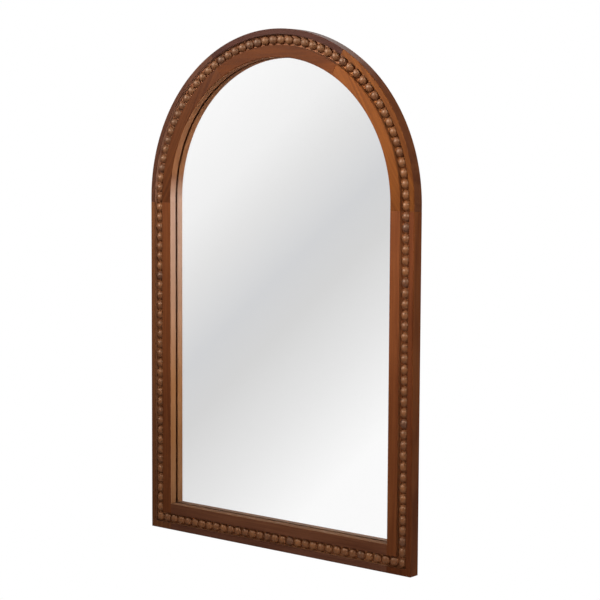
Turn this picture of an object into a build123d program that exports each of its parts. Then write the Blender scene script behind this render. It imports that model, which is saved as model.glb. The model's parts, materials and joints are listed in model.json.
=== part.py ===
from build123d import *
import os
from math import cos, floor, pi, radians, sin, sqrt

# Outline of the frame, seen from the front
frame_width = 600.0
frame_height = 920.0
arch_seam_drop = 8.5
arch_names = ("arch_right", "arch_top", "arch_left")
crown_joint_names = ("crown_right", "crown_left")

# Face and section of the frame members
face_width = 49.5
reveal_depth = 14.0
arris_chamfer = 1.0
overrun = 5.0

# Bead channel, sunk in the face
stile_channel_inset = 10.0
rail_channel_inset = 12.0
channel_width = 18.5
channel_depth = 7.5

# Flats that make up a small round part
bead_sides = 8
dowel_sides = 6
screw_sides = 6
ring_wire_sides = 8
ring_bow_sides = 8
ring_corner_sides = 2
strap_curl_sides = 12
bumper_sides = 16

# Turned half beads, with the least gap between them on each member
bead_diameter = 17.4
bead_height = 7.5
bead_ring_angles = (0.0, 36.0, 68.0)
stile_bead_gap = 0.7
arch_bead_gap = 0.5
rail_bead_gap = 0.1
cut_bead_width = 13.8

# Stepped rebate behind the sight edge
glass_rebate_width = 7.0
backing_ledge_width = 9.0
rebate_corner_radius = 6.0

# Glass, slip sheet and backing board
glass_thickness = 4.0
glass_face_clearance = 0.3
glass_edge_clearance = 1.5
slip_sheet_thickness = 0.5
slip_sheet_clearance = 0.2
slip_sheet_inset = 1.0
backing_thickness = 3.0
backing_clearance = 0.5

# Setting blocks under the glass
setting_block_length = 25.0
setting_block_share = 0.5

# Dowels across each joint
dowel_radius = 4.0
dowel_length = 40.0
dowel_chamfer = 1.0
dowel_clearance = 0.15
dowel_end_gap = 1.0
dowel_inset_shares = (0.25, 0.57)

# Countersunk screws that hold the backing board
backing_screw_radius = 1.5
backing_screw_head_radius = 3.0
backing_screw_head_height = 1.6
backing_screw_length = 12.0
backing_screw_tip = 2.5
backing_screw_clearance = 0.3
stile_screw_shares = (0.12, 0.5, 0.88)
rail_screw_shares = (-0.6, 0.0, 0.6)
arch_screw_shares = (0.1, 0.3, 0.5, 0.7, 0.9)
pilot_clearance = 0.15
screw_point_radius = 0.3
pilot_end_gap = 0.5

# Hangers on the back of the stiles
hanger_drop = 51.5
strap_width = 13.0
strap_thickness = 1.0
strap_tail = 37.0
strap_screw_drops = (20.0, 31.0)
strap_curl_angle = 285.0
ring_wire_radius = 1.2
ring_clearance = 0.3
ring_half_width = 10.0
ring_leg = 4.0
ring_corner_radius = 2.0
hanger_screw_radius = 1.5
hanger_screw_head_radius = 3.0
hanger_screw_head_height = 1.8
hanger_screw_length = 12.0
hanger_screw_tip = 2.5
hanger_screw_clearance = 0.3

# Wall bumpers at the foot of the stiles
bumper_radius = 6.0
bumper_nose_radius = 5.0
bumper_thickness = 6.0
bumper_height = 30.0

# Sizes that follow
half_width = frame_width / 2
springline = frame_height - half_width
stile_length = springline - arch_seam_drop
hanger_height = stile_length - hanger_drop
segment_angle = 180.0 / len(arch_names)
glass_depth = reveal_depth + glass_face_clearance
slip_sheet_depth = glass_depth + glass_thickness + slip_sheet_clearance
backing_depth = slip_sheet_depth + slip_sheet_thickness
frame_depth = backing_depth + backing_thickness
glass_rebate_inset = face_width - glass_rebate_width
backing_rebate_inset = glass_rebate_inset - backing_ledge_width
backing_screw_inset = glass_rebate_inset - backing_ledge_width / 2
back_strip_middle = backing_rebate_inset / 2
stile_bead_inset = stile_channel_inset + channel_width / 2
rail_bead_inset = rail_channel_inset + channel_width / 2
dowel_depth = (channel_depth + frame_depth) / 2
curl_radius = ring_wire_radius + ring_clearance
hook_height = hanger_height + ring_leg + ring_half_width - ring_wire_radius
front_y = -(frame_depth + bumper_thickness)


def place(x, depth, height):
    """A point from its place across the frame, its depth behind the face and its height."""
    return Vector(x, front_y + depth, height - hook_height)


def arch_outline(side_inset, foot_inset, corner_radius=0.0):
    """The arched outline, set in from the outer edges of the frame."""
    half = half_width - side_inset
    legs = Polyline((-half, springline), (-half, foot_inset), (half, foot_inset), (half, springline))
    crown = ThreePointArc((half, springline), (0, springline + half), (-half, springline))
    outline = make_face(legs + crown)
    if corner_radius > 0:
        corners = outline.vertices().sort_by(Axis.Y)[:2]
        outline = fillet(corners, corner_radius)
    return outline


def slab(outline, start, end):
    """A flat outline made solid between two depths behind the face."""
    back = Plane(origin=place(0, end, 0), x_dir=(1, 0, 0), z_dir=(0, -1, 0))
    return extrude(back * outline, end - start)


def rectangle(left, right, bottom, top):
    """A rectangle in the plane of the face."""
    return make_face(Polyline((left, bottom), (right, bottom), (right, top), (left, top), close=True))


def turning(profile, sides):
    """A turned shape made of flats, from the radius and height of each of its rings, lowest first."""
    steps = [2 * pi * (side + 0.5) / sides for side in range(sides)]
    rings = []
    for radius, height in profile:
        corner = radius / cos(pi / sides)
        rings.append([Vector(corner * cos(step), corner * sin(step), height) for step in steps])
    faces = [Face(Wire.make_polygon(ring)) for ring in (rings[0], rings[-1])]
    for low, high in zip(rings, rings[1:]):
        for side in range(sides):
            corners = [low[side - 1], low[side], high[side], high[side - 1]]
            faces.append(Face(Wire.make_polygon(corners)))
    return Solid(Shell(faces))


def bent_wire(points, radius, sides):
    """A closed loop of wire made of flats, mitred at each point of a loop in the XY plane."""
    corner = radius / cos(pi / sides)
    steps = [2 * pi * (side + 0.5) / sides for side in range(sides)]
    rings = []
    for before, point, after in zip(points[-1:] + points[:-1], points, points[1:] + points[:1]):
        across = (point - before).normalized().rotate(Axis.Z, 90)
        across_next = (after - point).normalized().rotate(Axis.Z, 90)
        mitre = (across + across_next) / (1 + across.dot(across_next))
        section = [mitre * corner * cos(step) + Vector(0, 0, corner * sin(step)) for step in steps]
        rings.append([point + offset for offset in section])
    faces = []
    for near, far in zip(rings, rings[1:] + rings[:1]):
        for side in range(sides):
            corners = [near[side - 1], near[side], far[side], far[side - 1]]
            faces.append(Face(Wire.make_polygon(corners)))
    return Solid(Shell(faces))


def frame_ring():
    """All frame members as one ring, with eased arrises, bead channel and stepped rebate."""
    sight = arch_outline(face_width, face_width)
    ring = slab(arch_outline(0, 0) - sight, 0, frame_depth)
    ring = chamfer(ring.faces().sort_by(Axis.Y)[0].edges(), arris_chamfer)
    channel = arch_outline(stile_channel_inset, rail_channel_inset) - arch_outline(
        stile_channel_inset + channel_width, rail_channel_inset + channel_width
    )
    glass_rebate = arch_outline(glass_rebate_inset, glass_rebate_inset, rebate_corner_radius)
    backing_rebate = arch_outline(backing_rebate_inset, backing_rebate_inset, rebate_corner_radius)
    ring -= slab(channel, -overrun, channel_depth)
    ring -= slab(glass_rebate, reveal_depth, frame_depth + overrun)
    ring -= slab(backing_rebate, backing_depth, frame_depth + overrun)
    return ring


def dowel_planes():
    """The planes of the two dowels in each joint, by the name of the joint."""
    planes = {}
    insets = [share * face_width for share in dowel_inset_shares]
    for side, name in ((-1, "left"), (1, "right")):
        planes["rail_" + name] = [
            Plane(origin=place(side * (half_width - face_width), dowel_depth, inset), z_dir=(1, 0, 0))
            for inset in insets
        ]
        planes["stile_" + name] = [
            Plane(origin=place(side * (half_width - inset), dowel_depth, stile_length), z_dir=(0, 0, 1))
            for inset in insets
        ]
    for joint, name in enumerate(crown_joint_names, start=1):
        angle = radians(joint * segment_angle)
        planes[name] = [
            Plane(
                origin=place(
                    (half_width - inset) * cos(angle),
                    dowel_depth,
                    springline + (half_width - inset) * sin(angle),
                ),
                z_dir=(-sin(angle), 0, cos(angle)),
            )
            for inset in insets
        ]
    return planes


def backing_screw_places():
    """Places across and up the frame of the screws round the backing board."""
    reach = half_width - backing_screw_inset
    places = [(side * reach, share * stile_length) for side in (-1, 1) for share in stile_screw_shares]
    places += [(share * reach, backing_screw_inset) for share in rail_screw_shares]
    for share in arch_screw_shares:
        angle = share * pi
        places.append((reach * cos(angle), springline + reach * sin(angle)))
    return places


def hanger_x(side):
    """Middle of the strip of wood behind a stile, outside the backing board."""
    return side * (half_width - back_strip_middle)


def drilling(spot, radius, start, end):
    """A drilled hole along the depth of the frame, between two depths."""
    x, height = spot
    axis = Plane(origin=place(x, end, height), x_dir=(1, 0, 0), z_dir=(0, -1, 0))
    return axis * turning([(radius, 0), (radius, end - start)], screw_sides)


def pilot_holes():
    """The holes for every dowel and screw in the frame members."""
    reach = dowel_length / 2 + dowel_end_gap
    radius = dowel_radius + dowel_clearance
    bore = turning([(radius, -reach), (radius, reach)], dowel_sides)
    holes = [plane * bore for planes in dowel_planes().values() for plane in planes]
    backing_end = frame_depth - backing_screw_length - pilot_end_gap
    for spot in backing_screw_places():
        radius = backing_screw_radius + pilot_clearance
        holes.append(drilling(spot, radius, backing_end, frame_depth + overrun))
    hanger_end = frame_depth + strap_thickness - hanger_screw_length - pilot_end_gap
    for side in (-1, 1):
        for drop in strap_screw_drops:
            spot = (hanger_x(side), hanger_height - drop)
            radius = hanger_screw_radius + pilot_clearance
            holes.append(drilling(spot, radius, hanger_end, frame_depth + overrun))
    return holes


def cut_member(ring, region, holes):
    """One frame member: the part of the ring inside a region, with its holes."""
    member = ring & slab(region, -overrun, frame_depth + overrun)
    return member - holes


def arch_region(segment):
    """The region of one arch segment, a wedge from the centre of the arch out past the frame."""
    reach = frame_width
    start = radians(segment * segment_angle)
    end = radians((segment + 1) * segment_angle)
    middle = (start + end) / 2
    points = [
        (0, springline),
        (reach * cos(start), springline + reach * sin(start)),
        (reach * cos(middle), springline + reach * sin(middle)),
        (reach * cos(end), springline + reach * sin(end)),
    ]
    wedge = make_face(Polyline(*points, close=True))
    if segment == 0:
        wedge += rectangle(0, reach, stile_length, springline)
    if segment == len(arch_names) - 1:
        wedge += rectangle(-reach, 0, stile_length, springline)
    return wedge


def frame_members():
    """The stiles, the rail and the arch segments, by node name."""
    ring = frame_ring()
    holes = pilot_holes()
    sight_half = half_width - face_width
    edge = half_width + overrun
    members = {
        "left_stile": cut_member(ring, rectangle(-edge, -sight_half, -overrun, stile_length), holes),
        "right_stile": cut_member(ring, rectangle(sight_half, edge, -overrun, stile_length), holes),
        "bottom_rail": cut_member(
            ring, rectangle(-sight_half, sight_half, -overrun, face_width + overrun), holes
        ),
    }
    for segment, name in enumerate(arch_names):
        members[name] = cut_member(ring, arch_region(segment), holes)
    return members


def bead():
    """One turned half bead, flat side down on the origin, with rings that follow a dome."""
    radius = bead_diameter / 2
    rise = bead_height / sin(radians(bead_ring_angles[-1]))
    angles = [radians(angle) for angle in bead_ring_angles]
    return turning([(radius * cos(angle), rise * sin(angle)) for angle in angles], bead_sides)


def seat(shape, x, height, run_x, run_z):
    """A bead set on the channel floor, turned to the run of the row."""
    floor_plane = Plane(origin=place(x, channel_depth, height), x_dir=(run_x, 0, run_z), z_dir=(0, -1, 0))
    return floor_plane.location * shape


def bead_rows():
    """Each row of beads by node name. Every row fills its length with evenly spaced beads."""
    half_bead = bead()
    x = half_width - stile_bead_inset
    rise = stile_length - rail_bead_inset
    stile_count = floor(rise / (bead_diameter + stile_bead_gap) - 0.5)
    stile_pitch = rise / (stile_count + 0.5)
    heights = [rail_bead_inset + stile_pitch * step for step in range(stile_count + 1)]
    left = [seat(half_bead, -x, height, 0, 1) for height in heights]
    right = [seat(half_bead, x, height, 0, 1) for height in heights[1:]]
    cut_bead = half_bead & Box(bead_diameter, cut_bead_width, 2 * bead_height)
    right.insert(0, seat(cut_bead, x, heights[0], 0, 1))
    rail_count = floor(2 * x / (bead_diameter + rail_bead_gap))
    rail_pitch = 2 * x / rail_count
    bottom = [
        seat(half_bead, -x + rail_pitch * step, rail_bead_inset, 1, 0) for step in range(1, rail_count)
    ]
    foot = springline - stile_length
    length = pi * x + 2 * foot
    arch_count = floor(length / (bead_diameter + arch_bead_gap))
    arch_pitch = length / arch_count
    arch = []
    for step in range(arch_count):
        run = arch_pitch * (step + 0.5) - foot
        angle = min(max(run / x, 0), pi)
        drop = min(run, 0) + min(pi * x - run, 0)
        spot = (x * cos(angle), springline + x * sin(angle) + drop)
        arch.append(seat(half_bead, *spot, -sin(angle), cos(angle)))
    return {"beads_left": left, "beads_arch": arch, "beads_right": right, "beads_bottom": bottom}


def joint_dowels():
    """The dowels of each joint by node name."""
    end = dowel_length / 2
    profile = [
        (dowel_radius - dowel_chamfer, -end),
        (dowel_radius, dowel_chamfer - end),
        (dowel_radius, end - dowel_chamfer),
        (dowel_radius - dowel_chamfer, end),
    ]
    pin = turning(profile, dowel_sides)
    return {
        f"dowels_{name}": [plane.location * pin for plane in planes]
        for name, planes in dowel_planes().items()
    }


def mirror_glass():
    """The silvered glass, a plain flat sheet without a bevel."""
    inset = glass_rebate_inset + glass_edge_clearance
    return slab(arch_outline(inset, inset, rebate_corner_radius), glass_depth, glass_depth + glass_thickness)


def slip_sheet():
    """The thin sheet between the glass and the backing board."""
    inset = glass_rebate_inset + glass_edge_clearance + slip_sheet_inset
    outline = arch_outline(inset, inset, rebate_corner_radius)
    return slab(outline, slip_sheet_depth, slip_sheet_depth + slip_sheet_thickness)


def setting_blocks():
    """Two blocks under the lower edge of the glass."""
    middle = setting_block_share * (half_width - face_width)
    blocks = []
    for side in (-1, 1):
        left = side * middle - setting_block_length / 2
        block = rectangle(
            left, left + setting_block_length, glass_rebate_inset, glass_rebate_inset + glass_edge_clearance
        )
        blocks.append(slab(block, glass_depth, glass_depth + glass_thickness))
    return blocks


def countersunk_screw():
    """A countersunk wood screw along +Z, its head flush with the origin."""
    profile = [
        (screw_point_radius, -backing_screw_length),
        (backing_screw_radius, backing_screw_tip - backing_screw_length),
        (backing_screw_radius, -backing_screw_head_height),
        (backing_screw_head_radius, 0),
    ]
    return turning(profile, screw_sides)


def countersunk_hole():
    """The hole that a countersunk screw passes through, wider by its clearance all round."""
    head = backing_screw_head_radius + backing_screw_clearance
    shank = backing_screw_radius + backing_screw_clearance
    profile = [
        (shank, -backing_thickness - overrun),
        (shank, -backing_screw_head_height),
        (head, 0),
        (head, overrun),
    ]
    return turning(profile, screw_sides)


def back_plane(x, height, depth):
    """A plane on the back of the frame, facing the wall."""
    return Plane(origin=place(x, depth, height), x_dir=(-1, 0, 0), z_dir=(0, 1, 0))


def backing_board():
    """The backing board in its rebate, flush with the back of the frame."""
    inset = backing_rebate_inset + backing_clearance
    board = slab(arch_outline(inset, inset, rebate_corner_radius), backing_depth, frame_depth)
    hole = countersunk_hole()
    return board - [back_plane(*spot, frame_depth).location * hole for spot in backing_screw_places()]


def backing_screws():
    """The screws round the backing board."""
    screw = countersunk_screw()
    return [back_plane(*spot, frame_depth).location * screw for spot in backing_screw_places()]


def curl_point(radius, angle, turn):
    """A corner of the curl's section, where two flats meet that touch a circle."""
    corner = radius / cos(turn / 2)
    return (corner * cos(angle), curl_radius + strap_thickness + corner * sin(angle))


def strap_hanger(side):
    """A steel strap with its end curled round the bar of the ring."""
    outer = curl_radius + strap_thickness
    turn = radians(strap_curl_angle) / strap_curl_sides
    angles = [turn * (step + 0.5) - pi / 2 for step in range(strap_curl_sides)]
    outline = [(-strap_tail, strap_thickness), (-strap_tail, 0)]
    outline += [curl_point(outer, angle, turn) for angle in angles]
    outline += [curl_point(curl_radius, angle, turn) for angle in reversed(angles)]
    section = make_face(Polyline(*outline, close=True))
    edge = place(hanger_x(side) + strap_width / 2, frame_depth, hanger_height)
    strap = extrude(Plane(origin=edge, x_dir=(0, 0, 1), z_dir=(-1, 0, 0)) * section, strap_width)
    foot = strap.edges().filter_by(Axis.Y).sort_by(Axis.Z)[:2]
    strap = fillet(foot, strap_width / 3)
    for drop in strap_screw_drops:
        spot = (hanger_x(side), hanger_height - drop)
        hole_radius = hanger_screw_radius + hanger_screw_clearance
        strap -= drilling(spot, hole_radius, frame_depth - overrun, frame_depth + overrun)
    return strap


def d_ring(side):
    """A wire ring with a straight bar in the strap and a round bow, stored hanging."""
    depth = frame_depth + strap_thickness + curl_radius
    plane = Plane(origin=place(hanger_x(side), depth, hanger_height), x_dir=(1, 0, 0), z_dir=(0, -1, 0))
    corner = ring_corner_radius
    loop = []
    for step in range(ring_corner_sides + 1):
        angle = pi / 2 * (1 - step / ring_corner_sides)
        loop.append(Vector(ring_half_width - corner + corner * cos(angle), corner * sin(angle) - corner))
    for step in range(ring_bow_sides + 1):
        angle = -pi * step / ring_bow_sides
        loop.append(Vector(ring_half_width * cos(angle), ring_half_width * sin(angle) - ring_leg))
    for point in loop[ring_corner_sides::-1]:
        loop.append(Vector(-point.X, point.Y))
    return plane * bent_wire(loop, ring_wire_radius, ring_wire_sides)


def hanger_screws():
    """The pan-head screws through both straps."""
    profile = [
        (screw_point_radius, -hanger_screw_length),
        (hanger_screw_radius, hanger_screw_tip - hanger_screw_length),
        (hanger_screw_radius, 0),
        (hanger_screw_head_radius, 0),
        (hanger_screw_head_radius, hanger_screw_head_height / 2),
        (hanger_screw_head_radius * sqrt(0.5), hanger_screw_head_height),
    ]
    screw = turning(profile, screw_sides)
    top = frame_depth + strap_thickness
    return [
        back_plane(hanger_x(side), hanger_height - drop, top).location * screw
        for side in (-1, 1)
        for drop in strap_screw_drops
    ]


def wall_bumper(side):
    """A tapered rubber bumper that keeps the foot of the frame off the wall."""
    base = back_plane(hanger_x(side), bumper_height, frame_depth)
    pad = turning([(bumper_radius, 0), (bumper_nose_radius, bumper_thickness)], bumper_sides)
    return base.location * pad


def build_nodes():
    """Every node of the mirror by name."""
    nodes = frame_members()
    nodes.update({name: Compound(beads) for name, beads in bead_rows().items()})
    nodes.update({name: Compound(pins) for name, pins in joint_dowels().items()})
    nodes["mirror_glass"] = mirror_glass()
    nodes["slip_sheet"] = slip_sheet()
    nodes["setting_blocks"] = Compound(setting_blocks())
    nodes["backing_board"] = backing_board()
    nodes["backing_screws"] = Compound(backing_screws())
    nodes["hanger_screws"] = Compound(hanger_screws())
    for side, name in ((-1, "left"), (1, "right")):
        nodes["strap_" + name] = strap_hanger(side)
        nodes["d_ring_" + name] = d_ring(side)
        nodes["bumper_" + name] = wall_bumper(side)
    return nodes


os.makedirs("parts", exist_ok=True)
for node_name, node_shape in build_nodes().items():
    export_step(node_shape, f"parts/{node_name}.step")
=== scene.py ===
"""The looks of the arched wall mirror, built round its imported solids.

Lengths are in metres unless a name ends in _mm, and the frame is that of the solids:
+X right as seen from the front, +Y into the wall, +Z up.
"""

import json
import logging
from dataclasses import dataclass
from enum import Enum
from math import cos, pi, radians, sin, sqrt
from typing import Any, Callable, Sequence

import bmesh
import bpy
from bpy.types import Material, Mesh, Object
from mathutils import Matrix, Vector


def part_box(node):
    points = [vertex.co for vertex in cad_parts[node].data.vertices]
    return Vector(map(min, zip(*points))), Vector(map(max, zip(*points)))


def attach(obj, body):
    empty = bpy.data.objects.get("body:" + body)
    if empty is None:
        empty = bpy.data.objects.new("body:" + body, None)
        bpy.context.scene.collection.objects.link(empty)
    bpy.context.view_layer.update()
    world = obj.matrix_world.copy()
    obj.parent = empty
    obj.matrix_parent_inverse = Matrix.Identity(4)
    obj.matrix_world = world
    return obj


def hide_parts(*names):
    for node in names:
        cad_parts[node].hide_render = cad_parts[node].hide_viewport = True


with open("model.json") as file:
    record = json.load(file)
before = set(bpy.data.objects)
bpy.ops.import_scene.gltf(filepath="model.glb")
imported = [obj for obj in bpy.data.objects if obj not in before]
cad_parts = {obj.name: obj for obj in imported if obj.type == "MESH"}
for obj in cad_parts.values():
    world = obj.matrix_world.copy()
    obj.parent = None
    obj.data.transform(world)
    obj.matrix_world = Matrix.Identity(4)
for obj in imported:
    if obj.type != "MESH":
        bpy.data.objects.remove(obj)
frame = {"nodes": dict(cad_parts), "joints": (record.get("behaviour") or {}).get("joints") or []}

LOG = logging.getLogger("mirror")
MM = 0.001
MERGE_DISTANCE = 2e-6

Colour = tuple[float, float, float, float]
Point = tuple[float, float, float]
Pair = tuple[float, float]


def tone(red: int, green: int, blue: int) -> Colour:
    """A colour written as it shows on a screen, made linear for the shaders.

    Args:
        red: Red from 0 to 255.
        green: Green from 0 to 255.
        blue: Blue from 0 to 255.

    Returns:
        The linear colour with an alpha of 1.
    """
    knee, low_slope, offset, power = 0.04045, 12.92, 0.055, 2.4
    shares = [channel / 255 for channel in (red, green, blue)]
    linear = [
        share / low_slope if share <= knee else ((share + offset) / (1 + offset)) ** power
        for share in shares
    ]
    return (linear[0], linear[1], linear[2], 1.0)


WHITE = tone(255, 255, 255)


def steps(start: float, end: float, count: int) -> list[float]:
    """Even steps from start to end, both included."""
    return [start + (end - start) * step / count for step in range(count + 1)]


def arc(middle: Pair, radius: float, turns: Pair, count: int) -> list[Pair]:
    """The points of a flat arc from one angle to another, both ends included."""
    return [(middle[0] + radius * cos(turn), middle[1] + radius * sin(turn)) for turn in steps(*turns, count)]


def circle(middle: Pair, radius: float, sides: int) -> list[Pair]:
    """The points of a flat circle."""
    return arc(middle, radius, (0.0, 2 * pi), sides)[:-1]


def operator(operation: str, swapped: bool = False) -> Callable[["Link", "Number"], "Link"]:
    """Makes a method of Link that adds one Math node.

    Args:
        operation: The Math node's operation.
        swapped: Whether the other value comes first.

    Returns:
        The method.
    """

    def work(link: "Link", other: "Number") -> "Link":
        """The operation on a link and another value."""
        first, second = (other, link) if swapped else (link, other)
        return link.graph.math(operation, first, second)

    return work


class Link:
    """The output of a node, with the sums that the finishes use."""

    __add__ = __radd__ = operator("ADD")
    __sub__ = operator("SUBTRACT")
    __rsub__ = operator("SUBTRACT", swapped=True)
    __mul__ = __rmul__ = operator("MULTIPLY")
    __truediv__ = operator("DIVIDE")
    __pow__ = operator("POWER")
    least = operator("MINIMUM")
    most = operator("MAXIMUM")

    def __init__(self, graph: "Graph", socket: bpy.types.NodeSocket | None) -> None:
        """Keeps the socket with the graph that it belongs to."""
        self.graph = graph
        self.socket = socket

    def rise(self, start: float, end: float) -> "Link":
        """A smooth rise from 0 where this value is start to 1 where it is end."""
        inputs = {"Value": self, "From Min": start, "From Max": end}
        return self.graph.node("ShaderNodeMapRange", {"interpolation_type": "SMOOTHSTEP"}, inputs)

    def rise_mm(self, zero: float, span_mm: Pair) -> "Link":
        """A smooth rise of a place in metres, over a span in millimetres from zero."""
        return self.rise(zero + span_mm[0] * MM, zero + span_mm[1] * MM)

    def sibling(self, name: str) -> "Link":
        """Another output of the same node."""
        return Link(self.graph, self.socket.node.outputs[name])


Number = float | Link


class Graph:
    """A node tree that is built from plain calls."""

    def __init__(self, tree: bpy.types.NodeTree) -> None:
        """Starts from a tree with its old nodes cleared."""
        self.tree = tree
        self.tree.nodes.clear()

    def node(
        self,
        kind: str,
        settings: dict[str, Any] | None = None,
        inputs: dict[str | int, Any] | None = None,
        output: str | int = 0,
    ) -> Link:
        """Adds a node.

        Args:
            kind: The node's type.
            settings: Its properties, which are set first.
            inputs: Values or links of its sockets, by name or index.
            output: The output that is wanted, by name or index.

        Returns:
            The output as a link.
        """
        made = self.tree.nodes.new(kind)
        for name, value in (settings or {}).items():
            setattr(made, name, value)
        for key, value in (inputs or {}).items():
            if isinstance(value, Link):
                self.tree.links.new(value.socket, made.inputs[key])
            else:
                made.inputs[key].default_value = value
        return Link(self, made.outputs[output] if len(made.outputs) else None)

    def math(self, operation: str, first: Number, second: Number = 0.0) -> Link:
        """A sum on one or two values."""
        return self.node("ShaderNodeMath", {"operation": operation}, {0: first, 1: second})

    def combine(self, x: Number, y: Number, z: Number = 0.0) -> Link:
        """A vector from its three parts."""
        return self.node("ShaderNodeCombineXYZ", inputs={"X": x, "Y": y, "Z": z})

    def split(self, vector: Link) -> tuple[Link, Link, Link]:
        """The three parts of a vector."""
        first = self.node("ShaderNodeSeparateXYZ", inputs={0: vector}, output="X")
        return first, first.sibling("Y"), first.sibling("Z")

    def scale(self, vector: Link, share: Number) -> Link:
        """A vector or colour times a value."""
        return self.node("ShaderNodeVectorMath", {"operation": "SCALE"}, {0: vector, "Scale": share})

    def mix(self, share: Number, first: Any, second: Any, blend: str = "MIX") -> Link:
        """Two colours mixed by a share of the second."""
        factor, first_colour, second_colour, result = 0, 6, 7, 2
        return self.node(
            "ShaderNodeMix",
            {"data_type": "RGBA", "blend_type": blend, "clamp_factor": True},
            {factor: share, first_colour: first, second_colour: second},
            result,
        )

    def ramp(self, value: Link, stops: Sequence[tuple[float, Colour]]) -> Link:
        """A colour from a value.

        Args:
            value: The value, from 0 to 1.
            stops: The places and colours of the ramp, first to last.

        Returns:
            The colour.
        """
        colour = self.node("ShaderNodeValToRGB", inputs={0: value})
        elements = colour.socket.node.color_ramp.elements
        elements.remove(elements[-1])
        for index, (place, shown) in enumerate(stops):
            element = elements.new(place) if index else elements[0]
            element.position = place
            element.color = shown
        return colour


@dataclass(frozen=True)
class Speckle:
    """A noise: the length of its features, its finer octaves and how strong they are.

    Where span is given, that part of its range is stretched to reach from 0 to 1.
    """

    size_mm: Point
    detail: float = 2.0
    roughness: float = 0.5
    span: Pair | None = None


class ShaderGraph(Graph):
    """The nodes of one material."""

    def __init__(self, name: str) -> None:
        """Makes the material and empties its tree."""
        self.material = bpy.data.materials.new(name)
        self.material.use_nodes = True
        super().__init__(self.material.node_tree)

    def place(self) -> Link:
        """The place on the piece, in metres."""
        return self.node("ShaderNodeTexCoord", output="Object")

    def noise(self, kind: Speckle, place_mm: Link | None = None) -> Link:
        """Noise from 0 to 1.

        Args:
            kind: Its sizes and its span.
            place_mm: Where it is read. Without it, that is the place on the piece.

        Returns:
            The noise.
        """
        place_mm = place_mm or self.scale(self.place(), 1 / MM)
        shares = tuple(1 / length for length in kind.size_mm)
        stretched = self.node("ShaderNodeVectorMath", {"operation": "MULTIPLY"}, {0: place_mm, 1: shares})
        made = self.node(
            "ShaderNodeTexNoise",
            {"noise_dimensions": "3D"},
            {"Vector": stretched, "Scale": 1.0, "Detail": kind.detail, "Roughness": kind.roughness},
        )
        return made.rise(*kind.span) if kind.span else made

    def bump(self, height: Link, depth_mm: float, strength: float) -> Link:
        """A normal bent by a height between 0 and 1."""
        inputs = {"Height": height, "Distance": depth_mm * MM, "Strength": strength}
        return self.node("ShaderNodeBump", inputs=inputs)

    def surface(self, **sockets: Any) -> Material:
        """Closes the material with one Principled shader.

        Args:
            sockets: Values or links of its sockets, with underscores for the spaces in their names.

        Returns:
            The material.
        """
        inputs = {name.replace("_", " "): value for name, value in sockets.items()}
        shader = self.node("ShaderNodeBsdfPrincipled", inputs=inputs)
        self.node("ShaderNodeOutputMaterial", inputs={"Surface": shader})
        return self.material


@dataclass(frozen=True)
class Layout:
    """Places that the pieces share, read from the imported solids."""

    half_width: float
    foot: float
    face: float
    back: float
    springline: float
    stile_top: float
    face_width: float
    channel_floor: float
    side_channel: Pair
    foot_channel: Pair

    @classmethod
    def measured(cls) -> "Layout":
        """Reads the places from the stiles, the crown and the bead rows."""
        half_channel = 9.25 * MM
        stile_low, stile_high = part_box("left_stile")
        left_low, left_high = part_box("beads_left")
        foot_low, foot_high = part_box("beads_bottom")
        half_width = -stile_low.x
        side_middle = half_width + (left_low.x + left_high.x) / 2
        foot_middle = (foot_low.z + foot_high.z) / 2 - stile_low.z
        return cls(
            half_width=half_width,
            foot=stile_low.z,
            face=stile_low.y,
            back=stile_high.y,
            springline=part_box("arch_top")[1].z - half_width,
            stile_top=stile_high.z,
            face_width=stile_high.x - stile_low.x,
            channel_floor=left_high.y,
            side_channel=(side_middle - half_channel, side_middle + half_channel),
            foot_channel=(foot_middle - half_channel, foot_middle + half_channel),
        )


@dataclass(frozen=True)
class StainAndPaintedLightZones:
    """Where the colour of a board changes: the start and end of each change."""

    margin_mm: Pair = (-14.0, 2.0)
    reveal_mm: Pair = (-0.6, -0.1)
    side_mm: Pair = (0.05, 0.9)
    lip_mm: Pair = (0.2, 1.6)
    wall_mm: Pair = (-0.1, 0.5)
    wall_depth_mm: Pair = (0.3, 1.2)
    floor_mm: Pair = (-2.0, -0.2)
    outer_wall_mm: Pair = (-3.0, 3.0)
    seam_mm: Pair = (-8.0, 50.0)
    right_mm: Pair = (40.0, 150.0)
    right_inset_mm: Pair = (0.0, 3.0)
    back_mm: Pair = (-0.4, -0.1)


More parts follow.
